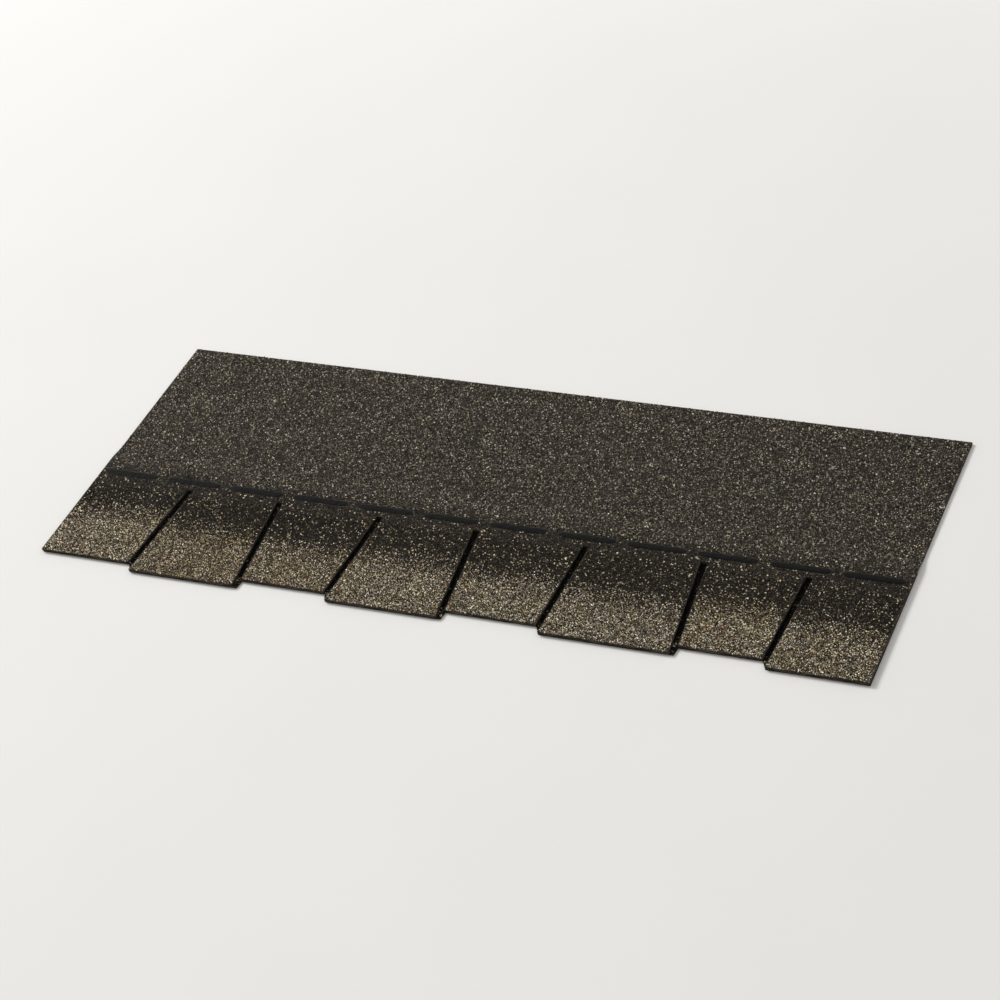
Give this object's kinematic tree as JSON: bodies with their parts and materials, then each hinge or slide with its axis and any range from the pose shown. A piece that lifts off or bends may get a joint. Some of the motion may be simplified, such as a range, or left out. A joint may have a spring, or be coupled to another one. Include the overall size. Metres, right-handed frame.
{
  "type": "laminated asphalt roofing shingle",
  "caption": "Flat laminated asphalt shingle strip for a roof, with tapered slots between staggered tabs, a plain headlap and a broken line of sealant.",
  "frame": {"origin": "bottom centre of the bounding box, with the shingle lying flat, granules up", "axes": "+X along the strip, +Y from the tab butts up to the headlap edge, +Z out of the granule face"},
  "size_m": [1.016, 0.4318, 0.0066],
  "materials": {
    "granule_surface": "asphalt sheet pressed with weathered blend mineral granules",
    "shadow_granules": "asphalt sheet with dark mineral granules",
    "film": "thin release film",
    "sealant": "tacky modified asphalt"
  },
  "bodies": {
    "root": {"upper_ply": "granule_surface", "lower_ply": "shadow_granules", "release_film": "film", "sealant_dash_01": "sealant", "sealant_dash_02": "sealant", "sealant_dash_03": "sealant", "sealant_dash_04": "sealant", "sealant_dash_05": "sealant", "sealant_dash_06": "sealant", "sealant_dash_07": "sealant", "sealant_dash_08": "sealant", "sealant_dash_09": "sealant", "sealant_dash_10": "sealant", "sealant_dash_11": "sealant", "sealant_dash_12": "sealant"}
  },
  "joints": []
}
